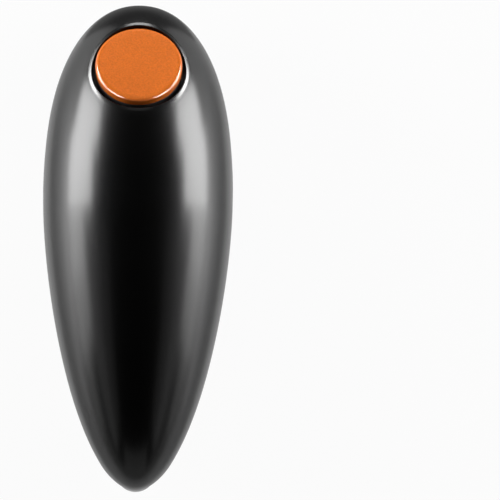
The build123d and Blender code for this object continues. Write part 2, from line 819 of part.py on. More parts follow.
with BuildPart() as gear_frame_lower:
    with BuildSketch(Plane.XY.offset(plate_low_z)):
        add(plate_outline.sketch)
    extrude(amount=plate_thick)
    for point in post_points:
        rod(point, plate_low_z, plate_high_z, pillar_radius)
        rod(point, plate_low_z, plate_high_z, screw_hole, Mode.SUBTRACT)
    for point in (gear_1_at, gear_2_at, gear_3_at):
        rod(point, plate_low_z, plate_high_z, pin_hole, Mode.SUBTRACT)
    rod(drive_at, plate_low_z, plate_high_z, bush_radius + hole_gap, Mode.SUBTRACT)
gear_frame_lower.part.label = "gear_frame_lower"
export_step(gear_frame_lower.part, "parts/gear_frame_lower.step")

motor_screw_points = [(motor_at[0] + side * motor_screw_x, motor_at[1]) for side in (1, -1)]
with BuildPart() as gear_frame_upper:
    with BuildSketch(Plane.XY.offset(plate_high_z)):
        add(plate_outline.sketch)
    extrude(amount=plate_thick)
    for point in post_points + motor_screw_points:
        rod(point, plate_high_z, motor_z, screw_hole, Mode.SUBTRACT)
    for point in (gear_1_at, gear_2_at, gear_3_at):
        rod(point, plate_high_z, motor_z, pin_hole, Mode.SUBTRACT)
    rod(drive_at, plate_high_z, motor_z, bush_radius + hole_gap, Mode.SUBTRACT)
    rod(motor_at, plate_high_z, motor_z, motor_boss_radius + hole_gap, Mode.SUBTRACT)
gear_frame_upper.part.label = "gear_frame_upper"
export_step(gear_frame_upper.part, "parts/gear_frame_upper.step")

with BuildPart() as frame_screws:
    with Locations(*[Location((x, y, motor_z), (180, 0, 0)) for x, y in post_points]):
        add(screw(motor_z - floor_z))
frame_screws.part.label = "frame_screws"
export_step(frame_screws.part, "parts/frame_screws.step")

with BuildPart() as gear_axles:
    for layer, point in ((2, gear_1_at), (1, gear_2_at), (0, gear_3_at)):
        rod(point, plate_low_z, motor_z, axle_pin_radius)
        rod(point, plate_low_z + plate_thick, layer_z(layer) - run_gap, axle_shoulder)
gear_axles.part.label = "gear_axles"
export_step(gear_axles.part, "parts/gear_axles.step")


def compound(at, layer, wheel_teeth, wheel_module, wheel_mate, next_module, next_mate):
    """Wheel in one layer with the next stage's pinion below it, bored for its axle."""
    wheel_turn = bearing(at, wheel_mate)
    pinion_turn = bearing(at, next_mate) + 180 / pinion_teeth
    with BuildPart() as body:
        with BuildSketch(Plane.XY.offset(layer_z(layer))):
            with Locations(at):
                add(gear(wheel_teeth, wheel_module, wheel_turn))
        extrude(amount=tooth_width)
        with BuildSketch(Plane.XY.offset(layer_z(layer - 1))):
            with Locations(at):
                add(gear(pinion_teeth, next_module, pinion_turn))
        extrude(amount=tooth_width + layer_gap)
        rod(at, layer_z(layer - 1), layer_z(layer) + tooth_width, axle_pin_radius + run_gap, Mode.SUBTRACT)
    return body.part


# Gears, in mesh at rest: every wheel has a tooth, and every pinion a gap, on the line to its mate
with BuildPart() as gear_1:
    add(compound(gear_1_at, 3, wheel_1_teeth, fine_module, motor_at, fine_module, gear_2_at))
gear_1.part.label = "gear_1"
export_step(gear_1.part, "parts/gear_1.step")

with BuildPart() as gear_2:
    add(compound(gear_2_at, 2, wheel_2_teeth, fine_module, gear_1_at, middle_module, gear_3_at))
gear_2.part.label = "gear_2"
export_step(gear_2.part, "parts/gear_2.step")

with BuildPart() as gear_3:
    add(compound(gear_3_at, 1, wheel_3_teeth, middle_module, gear_2_at, coarse_module, drive_at))
gear_3.part.label = "gear_3"
export_step(gear_3.part, "parts/gear_3.step")

with BuildPart() as output_gear:
    with BuildSketch(Plane.XY.offset(layer_z(0))):
        with Locations(drive_at):
            add(gear(output_teeth, coarse_module, bearing(drive_at, gear_3_at)))
    extrude(amount=tooth_width)
    rod(drive_at, layer_z(0), layer_z(0) + tooth_width + hub_height, hub_radius)
    rod(drive_at, layer_z(0), layer_z(0) + tooth_width + hub_height, spindle_radius + hole_gap, Mode.SUBTRACT)
output_gear.part.label = "output_gear"
export_step(output_gear.part, "parts/output_gear.step")

# Motor: can with flats, magnets, end cap and terminals; armature and pinion on the shaft
motor_top_z = motor_z + motor_length
with BuildPart() as motor_can:
    with BuildSketch(Plane.XY.offset(motor_z)):
        with Locations(motor_at):
            Circle(motor_radius)
            Rectangle(2 * motor_radius, 2 * motor_flat, mode=Mode.INTERSECT)
    extrude(amount=motor_length)
    with BuildSketch(Plane.XY.offset(motor_z + can_wall)):
        with Locations(motor_at):
            Circle(motor_radius - can_wall)
            Rectangle(2 * motor_radius, 2 * (motor_flat - can_wall), mode=Mode.INTERSECT)
    extrude(amount=motor_length, mode=Mode.SUBTRACT)
    rod(motor_at, plate_high_z, motor_z + can_wall, motor_boss_radius)
    rod(motor_at, plate_high_z, motor_top_z, shaft_radius + run_gap, Mode.SUBTRACT)
    for point in motor_screw_points:
        rod(point, motor_z, motor_z + can_wall, screw_hole, Mode.SUBTRACT)
motor_can.part.label = "motor_can"
export_step(motor_can.part, "parts/motor_can.step")

magnet_outer = motor_radius - can_wall - hole_gap
magnet_inner = magnet_outer - motor_magnet_thick
magnet_chord = 2 * magnet_outer * sin(radians(magnet_arc / 2))
with BuildPart() as motor_magnets:
    with BuildSketch(Plane.XY.offset(motor_z + armature_start)):
        with Locations(motor_at):
            Circle(magnet_outer)
            Circle(magnet_inner, mode=Mode.SUBTRACT)
            Rectangle(2 * motor_radius, magnet_chord, mode=Mode.INTERSECT)
    extrude(amount=motor_magnet_length)
motor_magnets.part.label = "motor_magnets"
export_step(motor_magnets.part, "parts/motor_magnets.step")

with BuildPart() as motor_end_cap:
    with BuildSketch(Plane.XY.offset(motor_top_z - end_cap_thick)):
        with Locations(motor_at):
            Circle(motor_radius - can_wall - hole_gap)
            cap_depth = 2 * (motor_flat - can_wall - hole_gap)
            Rectangle(2 * motor_radius, cap_depth, mode=Mode.INTERSECT)
    extrude(amount=end_cap_thick)
    rod(motor_at, motor_top_z, motor_top_z + end_boss_height, end_boss_radius)
    rod(motor_at, motor_z, motor_top_z + end_boss_height, shaft_radius + run_gap, Mode.SUBTRACT)
    for side in (terminal_x, -terminal_x):
        with Locations((motor_at[0] + side, motor_at[1], motor_top_z - end_cap_thick)):
            slot_size = (terminal_width + 2 * hole_gap, terminal_thick + 2 * hole_gap)
            Box(*slot_size, end_cap_thick, align=on_base, mode=Mode.SUBTRACT)
motor_end_cap.part.label = "motor_end_cap"
export_step(motor_end_cap.part, "parts/motor_end_cap.step")

with BuildPart() as motor_terminals:
    for side in (terminal_x, -terminal_x):
        with Locations((motor_at[0] + side, motor_at[1], motor_top_z - end_cap_thick)):
            Box(terminal_width, terminal_thick, terminal_height, align=on_base)
motor_terminals.part.label = "motor_terminals"
export_step(motor_terminals.part, "parts/motor_terminals.step")

with BuildPart() as motor_shaft:
    rod(motor_at, layer_z(3), motor_top_z + end_boss_height, shaft_radius)
motor_shaft.part.label = "motor_shaft"
export_step(motor_shaft.part, "parts/motor_shaft.step")

armature_radius = magnet_inner - armature_gap
with BuildPart() as motor_armature:
    with BuildSketch(Plane.XY.offset(motor_z + armature_start)):
        with Locations(motor_at):
            Circle(armature_radius)
            with PolarLocations(armature_radius, 3):
                Rectangle(2 * (armature_radius - armature_hub), armature_slot, mode=Mode.SUBTRACT)
    extrude(amount=armature_length)
    commutator_z = motor_z + armature_start + armature_length
    rod(motor_at, commutator_z, commutator_z + commutator_length, commutator_radius)
    rod(motor_at, motor_z, motor_top_z, shaft_radius + hole_gap, Mode.SUBTRACT)
motor_armature.part.label = "motor_armature"
export_step(motor_armature.part, "parts/motor_armature.step")

with BuildPart() as motor_pinion:
    with BuildSketch(Plane.XY.offset(layer_z(3))):
        with Locations(motor_at):
            add(gear(pinion_teeth, fine_module, bearing(motor_at, gear_1_at) + 180 / pinion_teeth))
            Circle(shaft_radius + hole_gap, mode=Mode.SUBTRACT)
    extrude(amount=tooth_width)
motor_pinion.part.label = "motor_pinion"
export_step(motor_pinion.part, "parts/motor_pinion.step")

with BuildPart() as motor_screws:
    with Locations([(x, y, plate_high_z) for x, y in motor_screw_points]):
        add(screw(motor_screw_length))
motor_screws.part.label = "motor_screws"
export_step(motor_screws.part, "parts/motor_screws.step")

# Lid magnet in its post
with BuildPart() as lid_magnet:
    rod((0, magnet_y), belly_z - magnet_post_drop, belly_z - magnet_post_drop + magnet_thick, magnet_radius)
lid_magnet.part.label = "lid_magnet"
export_step(lid_magnet.part, "parts/lid_magnet.step")

# Battery bay: tray, two cells head to tail, contacts and coil springs
cell_x = cell_radius + cell_gap / 2
cell_z = floor_z + cell_lift + cell_radius
bay_rear_y = bay_front_y - cell_length - spring_space - 2 * contact_thick
tray_top_z = cell_z + cell_radius + cell_gap
tray_half = cover_half_width + tray_gap
tray_width = 2 * (tray_half + tray_wall)
tray_front_y = bay_front_y + tray_wall
with BuildPart() as battery_tray:
    slab(tray_width, bay_rear_y - tray_wall, tray_front_y, floor_z, tray_top_z + tray_wall)
    slab(2 * tray_half, bay_rear_y, bay_front_y, floor_z, tray_top_z, Mode.SUBTRACT)
    slab(2 * tray_half, bay_front_y, tray_front_y, floor_z, floor_z + tray_front_clear, Mode.SUBTRACT)
    add(egg(wall + tray_gap), mode=Mode.INTERSECT)
    slab(2 * tray_half, bay_rear_y - tray_wall, bay_rear_y, floor_z, belly_z + cover_top, Mode.SUBTRACT)
battery_tray.part.label = "battery_tray"
export_step(battery_tray.part, "parts/battery_tray.step")


def cell(start_y, end_y):
    """Round cell along the body with its nub at end_y, about the bay's own height."""
    way = 1 if end_y > start_y else -1
    with BuildPart() as body:
        with BuildSketch(Plane(origin=(0, start_y, 0), x_dir=(1, 0, 0), z_dir=(0, way, 0))):
            Circle(cell_radius)
        extrude(amount=cell_length - cell_nub_height)
        fillet(body.edges().filter_by(GeomType.CIRCLE), cell_edge)
        with BuildSketch(Plane(origin=(0, end_y, 0), x_dir=(1, 0, 0), z_dir=(0, -way, 0))):
            Circle(cell_nub_radius)
        extrude(amount=cell_length / 2)
    return body.part


front_seat = bay_front_y - contact_thick - hole_gap
rear_seat = bay_rear_y + contact_thick + hole_gap
with BuildPart() as battery_left:
    with Locations((-cell_x, 0, cell_z)):
        add(cell(front_seat - cell_length, front_seat))
battery_left.part.label = "battery_left"
export_step(battery_left.part, "parts/battery_left.step")

with BuildPart() as battery_right:
    with Locations((cell_x, 0, cell_z)):
        add(cell(rear_seat + cell_length, rear_seat))
battery_right.part.label = "battery_right"
export_step(battery_right.part, "parts/battery_right.step")

with BuildPart() as front_contacts:
    for x in (-cell_x, cell_x):
        with Locations((x, bay_front_y, cell_z)):
            Box(contact_width, contact_thick, contact_height, align=behind)
front_contacts.part.label = "front_contacts"
export_step(front_contacts.part, "parts/front_contacts.step")

with BuildPart() as rear_contact:
    with Locations((0, bay_rear_y, cell_z)):
        Box(2 * cell_x + contact_width, contact_thick, contact_height, align=ahead)
rear_contact.part.label = "rear_contact"
export_step(rear_contact.part, "parts/rear_contact.step")

coil_length = spring_space - 4 * hole_gap
with BuildPart() as contact_springs:
    with Locations(Location((cell_x, front_seat, cell_z), (90, 0, 0))):
        add(coil(contact_coil, contact_wire, contact_turns, coil_length))
    with Locations(Location((-cell_x, rear_seat, cell_z), (-90, 0, 0))):
        add(coil(contact_coil, contact_wire, contact_turns, coil_length))
contact_springs.part.label = "contact_springs"
export_step(contact_springs.part, "parts/contact_springs.step")

# Leads: battery to switch board, board to motor, motor back to battery
tag_z = tray_top_z + tray_wall + lead_gap
tag_y = bay_front_y - tray_wall
terminal_z = motor_top_z + terminal_height - end_cap_thick - lead_radius
terminal_face = terminal_thick / 2 + lead_gap
board_back = board_screw_seat + lead_gap


def board_tag(x, y, below):
    """Point under the switch board, in its own directions."""
    return tuple(button_plane.from_local_coords(Vector(x, y, -board_back - below)))


def from_motor(bends):
    """Bends given by their offset from the motor's axis and their height."""
    return [(motor_at[0] + x, motor_at[1] + y, z) for x, y, z in bends]


def from_tag(x, bends):
    """Bends given by their offset from a battery tag at x."""
    return [(x + dx, tag_y + dy, tag_z + dz) for dx, dy, dz in bends]


red_route = [
    (-lead_x, tag_y, tag_z),
    *from_tag(-lead_x, red_rise),
    *from_motor(red_bends),
    board_tag(*red_tag, tag_drop),
    board_tag(*red_tag, 0.0),
]
black_route = [
    (lead_x, tag_y, tag_z),
    *from_tag(lead_x, black_rise),
    (motor_at[0] + terminal_x, motor_at[1] - terminal_run, terminal_z + black_lift),
    (motor_at[0] + terminal_x, motor_at[1] - terminal_face, terminal_z),
]
motor_route = [
    board_tag(*motor_tag, 0.0),
    board_tag(*motor_tag, tag_drop),
    *from_motor(motor_bends),
    (motor_at[0] - terminal_x, motor_at[1] + terminal_run, terminal_z + motor_lift),
    (motor_at[0] - terminal_x, motor_at[1] + terminal_face, terminal_z),
]
with BuildPart() as lead_red:
    add(lead(red_route))
lead_red.part.label = "lead_red"
export_step(lead_red.part, "parts/lead_red.step")

with BuildPart() as lead_black:
    add(lead(black_route))
lead_black.part.label = "lead_black"
export_step(lead_black.part, "parts/lead_black.step")

with BuildPart() as lead_motor:
    add(lead(motor_route))
lead_motor.part.label = "lead_motor"
export_step(lead_motor.part, "parts/lead_motor.step")
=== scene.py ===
import json
import math
import bmesh
import bpy
import numpy as np
from mathutils import Matrix, Vector


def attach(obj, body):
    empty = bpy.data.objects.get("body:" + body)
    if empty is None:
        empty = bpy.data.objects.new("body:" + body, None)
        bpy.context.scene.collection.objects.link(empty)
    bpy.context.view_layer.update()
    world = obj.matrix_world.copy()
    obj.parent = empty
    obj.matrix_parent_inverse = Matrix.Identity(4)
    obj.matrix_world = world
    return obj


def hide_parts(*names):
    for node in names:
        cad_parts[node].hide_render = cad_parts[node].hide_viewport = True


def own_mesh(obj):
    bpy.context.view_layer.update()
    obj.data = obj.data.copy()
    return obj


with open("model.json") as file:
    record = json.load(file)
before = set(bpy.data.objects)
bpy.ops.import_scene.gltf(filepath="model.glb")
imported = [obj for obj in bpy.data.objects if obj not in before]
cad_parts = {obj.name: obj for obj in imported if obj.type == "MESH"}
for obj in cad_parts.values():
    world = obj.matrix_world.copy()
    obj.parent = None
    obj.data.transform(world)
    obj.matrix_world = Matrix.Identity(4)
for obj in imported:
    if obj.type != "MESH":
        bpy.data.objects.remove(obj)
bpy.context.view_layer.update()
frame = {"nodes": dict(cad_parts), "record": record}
nodes = frame["nodes"]


# shader wiring: a Wire is one output in a node tree, and sums and products of wires add Math nodes

class Wire:
    def __init__(self, tree, socket=None):
        self.tree = tree
        self.socket = socket

    def make(self, kind, settings=None, sockets=None, out=0):  # any node: settings, then sockets
        node = self.tree.nodes.new(kind)
        for name, value in (settings or {}).items():
            setattr(node, name, value)
        for name, value in (sockets or {}).items():
            if isinstance(value, Wire):
                self.tree.links.new(value.socket, node.inputs[name])
            else:
                node.inputs[name].default_value = value
        return Wire(self.tree, node.outputs[out]) if node.outputs else node

    def maths(self, operation, first, second):
        return self.make("ShaderNodeMath", {"operation": operation}, {0: first, 1: second})

    def __add__(self, other):
        return self.maths("ADD", self, other)

    def __radd__(self, other):
        return self.maths("ADD", other, self)

    def __sub__(self, other):
        return self.maths("SUBTRACT", self, other)

    def __rsub__(self, other):
        return self.maths("SUBTRACT", other, self)

    def __mul__(self, other):
        return self.maths("MULTIPLY", self, other)

    def __rmul__(self, other):
        return self.maths("MULTIPLY", other, self)


black = (0.0, 0.0, 0.0)
white = (1.0, 1.0, 1.0)


def bareFinish(name):
    material = bpy.data.materials.new(name)
    material.use_nodes = True
    material.node_tree.nodes.clear()
    return material, Wire(material.node_tree)


def startFinish(name):
    material, wire = bareFinish(name)
    place = wire.make("ShaderNodeTexCoord", out="Object")  # metres, along the frame's own axes
    return material, wire, place


def noise(wire, place, scale, detail=2.0, rough=0.5):
    sockets = {"Vector": place, "Scale": scale, "Detail": detail, "Roughness": rough}
    return wire.make("ShaderNodeTexNoise", {"noise_dimensions": "3D"}, sockets)


def stretched(wire, place, factors):
    sockets = {"Vector": place, "Scale": factors}
    return wire.make("ShaderNodeMapping", {"vector_type": "POINT"}, sockets)


def alongAxis(wire, place, axis):
    return wire.make("ShaderNodeSeparateXYZ", None, {"Vector": place}, out=axis)


def fadeOut(wire, value, ends, shape="LINEAR"):  # 1 up to the first end, 0 from the second on
    low, high = ends
    span = {"From Min": low, "From Max": high, "To Min": 1.0, "To Max": 0.0}
    return wire.make("ShaderNodeMapRange", {"interpolation_type": shape}, {"Value": value, **span})


def shade(colour, factor):
    return tuple(min(1.0, channel * factor) for channel in colour)


def mixColour(wire, share, first, second):
    sockets = {"Factor": share, 6: (*first, 1.0), 7: (*second, 1.0)}  # 6 and 7 are its two colours
    return wire.make("ShaderNodeMix", {"data_type": "RGBA"}, sockets, out=2)


def mottled(wire, share, colour, tint):  # between a darker and a paler shade of one colour
    return mixColour(wire, share, shade(colour, tint[0]), shade(colour, tint[1]))


def raised(wire, height, strength, depth):
    sockets = {"Strength": strength, "Distance": depth, "Height": height}
    return wire.make("ShaderNodeBump", None, sockets)


def endFinish(material, wire, sockets):
    surface = wire.make("ShaderNodeBsdfPrincipled", None, sockets)
    wire.make("ShaderNodeOutputMaterial", None, {"Surface": surface})
    return material


plasticLook = {
    "tint": (0.88, 1.12),  # darkest and palest shade of the colour
    "grain": 2500.0,  # grains in a metre
    "patch": 60.0,  # broad patches in a metre
    "grainShare": 0.6,  # how much of the tint follows the grain; the patches have the rest
    "bump": 0.15,
    "depth": 0.00003,
    "rough": 0.45,
    "roughShift": -0.06,
    "roughPatch": 0.08,
    "roughGrain": 0.05,
}


def plasticFinish(name, colour, **changes):
    look = {**plasticLook, **changes}
    material, wire, place = startFinish(name)
    fine = noise(wire, place, look["grain"], detail=3.0)
    broad = noise(wire, place, look["patch"], detail=3.0)
    share = fine * look["grainShare"] + broad * (1 - look["grainShare"])
    tint = mottled(wire, share, colour, look["tint"])
    rise = raised(wire, fine, look["bump"], look["depth"])
    rough = look["rough"] + look["roughShift"]
    rough = rough + broad * look["roughPatch"] + fine * look["roughGrain"]
    return endFinish(material, wire, {"Base Color": tint, "Roughness": rough, "Normal": rise})


metalLook = {
    "tint": (0.9, 1.1),  # darkest and palest shade of the colour
    "lines": (400.0, 400.0, 6000.0),  # tool lines in a metre, along each axis
    "blotch": 220.0,
    "lineShare": 0.5,  # how much of the tint follows the lines; the blotches have the rest
    "bump": 0.12,
    "depth": 0.00002,
    "rough": 0.28,
    "roughShift": -0.08,
    "roughLine": 0.1,
    "roughBlotch": 0.08,
}


def metalFinish(name, colour, **changes):
    look = {**metalLook, **changes}
    material, wire, place = startFinish(name)
    lines = noise(wire, stretched(wire, place, look["lines"]), 1.0, detail=4.0, rough=0.6)
    blotch = noise(wire, place, look["blotch"], detail=3.0)
    share = lines * look["lineShare"] + blotch * (1 - look["lineShare"])
    tint = mottled(wire, share, colour, look["tint"])
    rise = raised(wire, lines, look["bump"], look["depth"])
    rough = look["rough"] + look["roughShift"]
    rough = rough + lines * look["roughLine"] + blotch * look["roughBlotch"]
    sockets = {"Base Color": tint, "Metallic": 1.0, "Roughness": rough, "Normal": rise}
    return endFinish(material, wire, sockets)


casingLook = {
    "colour": (0.0004, 0.0004, 0.00043),
    "tint": (0.75, 1.3),
    "ior": 2.0,  # a lacquered gloss
    "peelScale": 900.0,  # faint orange peel of the moulding
    "peelDepth": 0.000004,
    "peelBump": 0.25,
    "cloudScale": 45.0,
    "rubScale": (900.0, 90.0, 500.0),  # faint handling marks, drawn out along the body
    "rough": 0.24,
    "roughShift": -0.02,
    "roughCloud": 0.036,
    "roughRub": 0.004,
}


def casingFinish(name, look):
    material, wire, place = startFinish(name)
    peel = noise(wire, place, look["peelScale"], detail=2.0)
    cloud = noise(wire, place, look["cloudScale"], detail=3.0)
    rub = noise(wire, stretched(wire, place, look["rubScale"]), 1.0, detail=5.0, rough=0.65)
    tint = mottled(wire, cloud, look["colour"], look["tint"])
    rise = raised(wire, peel, look["peelBump"], look["peelDepth"])
    rough = look["rough"] + look["roughShift"]
    rough = rough + cloud * look["roughCloud"] + rub * look["roughRub"]
    sockets = {"Base Color": tint, "Roughness": rough, "Normal": rise, "IOR": look["ior"]}
    return endFinish(material, wire, sockets)


buttonLook = {
    "colour": (0.74, 0.170, 0.021),
    "tint": (0.82, 1.16),
    "specular": 0.15,
    "grainScale": 1500.0,
    "grainDepth": 0.0003,
    "grainContrast": 2.6,
    "grainShare": 0.65,  # how much of the tint follows the grain; the clouds have the rest
    "cloudScale": 300.0,
    "bump": 0.02,
    "bumpFace": 0.9,  # added on the face
    "rough": 0.20,
    "roughShift": -0.02,
    "roughFace": 0.18,
    "roughGrain": 0.04,
    "roughCloud": 0.04,
    "centre": (0.0, 0.0657, 0.0531),
    "tilt": 27.0,
    "face": (0.0138, 0.0150),  # the grain fades out towards the rolled edge
    "polish": (-0.002, 0.008),  # the polish of the edge fades out towards the nose
    "polishRough": 0.08,
    "polishIor": 2.2,
    "wall": (-0.0019, -0.0011),  # the side wall below the edge, whose colour the next factor darkens as painted shade
    "wallPaintedShade": 0.5,
}


def buttonFinish(name, look):
    material, wire, place = startFinish(name)
    turn = (-math.radians(look["tilt"]), 0, 0)
    sockets = {"Vector": place, "Location": look["centre"], "Rotation": turn}
    local = wire.make("ShaderNodeMapping", {"vector_type": "TEXTURE"}, sockets)  # on its axis
    plan = {0: local, 1: (1.0, 1.0, 0.0)}
    flat = wire.make("ShaderNodeVectorMath", {"operation": "MULTIPLY"}, plan)
    out = wire.make("ShaderNodeVectorMath", {"operation": "LENGTH"}, {0: flat}, out="Value")
    onFace = fadeOut(wire, out, look["face"], "SMOOTHSTEP")
    onWall = fadeOut(wire, alongAxis(wire, local, "Z"), look["wall"], "SMOOTHSTEP")
    worn = fadeOut(wire, alongAxis(wire, local, "Y"), look["polish"])
    grain = noise(wire, place, look["grainScale"], detail=2.0, rough=0.6)
    cloud = noise(wire, place, look["cloudScale"], detail=4.0, rough=0.6)
    strong = (grain - 0.5) * look["grainContrast"] + 0.5
    strong = wire.maths("MINIMUM", wire.maths("MAXIMUM", strong, 0.0), 1.0)
    share = strong * look["grainShare"] + cloud * (1 - look["grainShare"])
    tint = mottled(wire, share, look["colour"], look["tint"])
    # painted shade: the side wall's colour is darkened below the edge, standing in for the shade in
    # the gap round the button
    paintedShade = 1.0 - onWall * (1 - look["wallPaintedShade"])
    tint = wire.make("ShaderNodeVectorMath", {"operation": "SCALE"}, {0: tint, "Scale": paintedShade})
    rise = raised(wire, grain, onFace * look["bumpFace"] + look["bump"], look["grainDepth"])
    rough = look["rough"] + look["roughShift"] + onFace * look["roughFace"]
    rough = rough + grain * look["roughGrain"] + cloud * look["roughCloud"]
    polish = (1.0 - onFace) * (1.0 - onWall) * worn  # the edge, polished by the thumb
    sockets = {"Base Color": tint, "Roughness": rough, "Normal": rise, "Coat Weight": polish}
    sockets["Coat Roughness"] = look["polishRough"]
    sockets["Coat IOR"] = look["polishIor"]
    sockets["Specular IOR Level"] = look["specular"]
    return endFinish(material, wire, sockets)


finishes = {
    "black_gloss": casingFinish("casingBlack", casingLook),
    "orange_satin": buttonFinish("buttonOrange", buttonLook),
    "dark_plastic": plasticFinish("darkMoulding", (0.03, 0.031, 0.034), rough=0.5),
    "pale_plastic": plasticFinish("paleMoulding", (0.66, 0.65, 0.6), rough=0.42, tint=(0.95, 1.05)),
    "steel": metalFinish("turnedSteel", (0.56, 0.56, 0.57)),
    "hard_steel": metalFinish("groundSteel", (0.62, 0.62, 0.64), rough=0.22),
    "brass": metalFinish("turnedBrass", (0.72, 0.53, 0.23)),
    "copper": metalFinish("brightCopper", (0.72, 0.39, 0.24)),
    "magnet": metalFinish(
        "sinteredMagnet", (0.13, 0.13, 0.135), rough=0.5, lines=(900.0, 900.0, 900.0), bump=0.3),
    "nickel": metalFinish("nickelPlate", (0.66, 0.64, 0.6), rough=0.2),
    "rubber": plasticFinish(
        "mattRubber", (0.018, 0.018, 0.018), rough=0.75, grain=1800.0, bump=0.3),
    "board_green": plasticFinish(
        "boardGreen", (0.02, 0.13, 0.05), rough=0.35, grain=1200.0, bump=0.1),
    "cell_jacket": plasticFinish(
        "cellJacket", (0.06, 0.075, 0.09), rough=0.32, grain=700.0, bump=0.05),
    "wire_red": plasticFinish("wireRed", (0.45, 0.015, 0.015), rough=0.4),
    "wire_black": plasticFinish("wireBlack", (0.012, 0.012, 0.012), rough=0.4),
}
for row in frame["record"]["subparts"]:
    holder = nodes[row["node"]].data.materials
    holder.clear()
    holder.append(finishes[row["material_slot"]])
print("finishes set:", len(finishes))


# body shape, the same teardrop of revolution as the solids, in metres

bodyForm = {
    "width": 0.070,
    "noseTip": 0.090,
    "tailTip": -0.090,
    "widest": 0.015,
    "noseEnd": 2.58,
    "noseSide": 2.11,
    "tailEnd": 1.57,
    "tailSide": 1.95,
    "seam": 0.025,
    "wall": 0.0022,
    "samples": 2001,  # points on a quarter of the outline before it is evenly divided
}


def reach(y, inset=0.0):  # half-width at a place along the body
    f = bodyForm
    half = f["width"] / 2 - inset
    nose = (y - f["widest"]) / (f["noseTip"] - inset - f["widest"])
    tail = (f["widest"] - y) / (f["widest"] - f["tailTip"] - inset)
    ahead = np.clip(1 - np.clip(nose, 0, 1) ** f["noseEnd"], 0, 1) ** (1 / f["noseSide"])
    behind = np.clip(1 - np.clip(tail, 0, 1) ** f["tailEnd"], 0, 1) ** (1 / f["tailSide"])
    return half * np.where(y > f["widest"], ahead, behind)


def outlinePoints(count, inset=0.0):  # evenly round the outline, from the nose by +X
    f = bodyForm
    turn = np.linspace(0, math.pi / 2, f["samples"])
    half = f["width"] / 2 - inset
    ahead = f["noseTip"] - inset - f["widest"]
    behind = f["widest"] - f["tailTip"] - inset
    noseX = half * np.sin(turn) ** (2 / f["noseSide"])
    noseY = f["widest"] + ahead * np.cos(turn) ** (2 / f["noseEnd"])
    tailX = half * np.cos(turn) ** (2 / f["tailSide"])
    tailY = f["widest"] - behind * np.sin(turn) ** (2 / f["tailEnd"])
    x = np.concatenate([noseX, tailX[1:]])
    y = np.concatenate([noseY, tailY[1:]])
    run = np.concatenate([[0], np.cumsum(np.hypot(np.diff(x), np.diff(y)))])
    steps = np.linspace(0, run[-1], count // 2 + 1)
    side = np.stack([np.interp(steps, run, x), np.interp(steps, run, y)], 1)
    side[0, 0] = side[-1, 0] = 0.0
    return np.concatenate([side, side[-2:0:-1] * (-1, 1)])


def onDome(plan, inset=0.0):  # lifts plan points onto the upper skin
    rise = np.sqrt(np.clip(reach(plan[:, 1], inset) ** 2 - plan[:, 0] ** 2, 0, None))
    return np.column_stack([plan, bodyForm["seam"] + rise])


def skinDistance(points, inset=0.0):  # height above the skin, and its outward normal
    offset = points[:, 2] - bodyForm["seam"]
    across = np.hypot(points[:, 0], offset)
    step = 1e-6
    fore, aft = reach(points[:, 1] + step, inset), reach(points[:, 1] - step, inset)
    normal = np.column_stack([points[:, 0] / across, -(fore - aft) / (2 * step), offset / across])
    length = np.linalg.norm(normal, axis=1)
    return (across - reach(points[:, 1], inset)) / length, normal / length[:, None]


sharpAngle = math.radians(35)  # edges with a sharper bend stay crisp


def fullTurn(count):  # angles evenly round a circle
    return np.arange(count) * 2 * math.pi / count


def loopMesh(name, rows, closed=False):  # skins rings of equal count, joined end to end or capped
    count, last = len(rows[0]), len(rows) - 1
    faces = []
    for first, second in [(k, k + 1) for k in range(last)] + [(last, 0)] * closed:
        low, high = first * count, second * count
        for k in range(count):
            after = (k + 1) % count
            faces.append((low + k, low + after, high + after, high + k))
    if not closed:
        faces.append(tuple(range(count))[::-1])
        faces.append(tuple(range(last * count, (last + 1) * count)))
    mesh = bpy.data.meshes.new(name)
    mesh.from_pydata(np.concatenate(rows).tolist(), [], faces)
    mesh.validate()
    work = bmesh.new()
    work.from_mesh(mesh)
    bmesh.ops.recalc_face_normals(work, faces=work.faces)
    work.to_mesh(mesh)
    work.free()
    mesh.polygons.foreach_set("use_smooth", [True] * len(mesh.polygons))
    mesh.set_sharp_from_angle(angle=sharpAngle)
    piece = bpy.data.objects.new(name, mesh)
    bpy.context.scene.collection.objects.link(piece)
    return piece


wellForm = {
    "y": 0.0657,
    "drop": -0.0001,
    "tilt": 27.0,
    "radius": 0.0172,
    "lip": 0.00125,  # width of the lip round the well
    "lipFoot": -6.0,  # degrees that the lip leans into the well where it starts
    "lipCrest": -10.0,  # the same at its crest
    "lipRoll": 0.00025,
    "depth": 0.0090,
    "sleeve": 0.0016,
    "rounds": 40,  # steps in which a ring is let down onto the skin
    "leastLean": 0.2,  # keeps such a step short where the skin is steep
}
wellTilt = math.radians(wellForm["tilt"])
wellAxis = np.array([0.0, math.sin(wellTilt), math.cos(wellTilt)])
wellAcross = np.array([1.0, 0.0, 0.0])
wellUp = np.array([0.0, math.cos(wellTilt), -math.sin(wellTilt)])
wellHeight = bodyForm["seam"] + float(reach(np.array([wellForm["y"]]))[0]) + wellForm["drop"]
wellCentre = np.array([0.0, wellForm["y"], wellHeight])


def wellWays(turns):  # directions out from the button's axis
    return np.outer(np.sin(turns), wellAcross) + np.outer(np.cos(turns), wellUp)


def wellRing(turns, radius, height):  # a ring about the button's axis; height may differ round it
    lift = np.outer(np.broadcast_to(height, turns.shape), wellAxis)
    return wellCentre + radius * wellWays(turns) + lift


def ringOnSkin(turns, radius, inset=0.0):  # heights at which such a ring lies on the skin
    height = np.zeros_like(turns)
    for _ in range(wellForm["rounds"]):
        gap, normal = skinDistance(wellRing(turns, radius, height), inset)
        height = height - gap / np.maximum(normal @ wellAxis, wellForm["leastLean"])
    return height


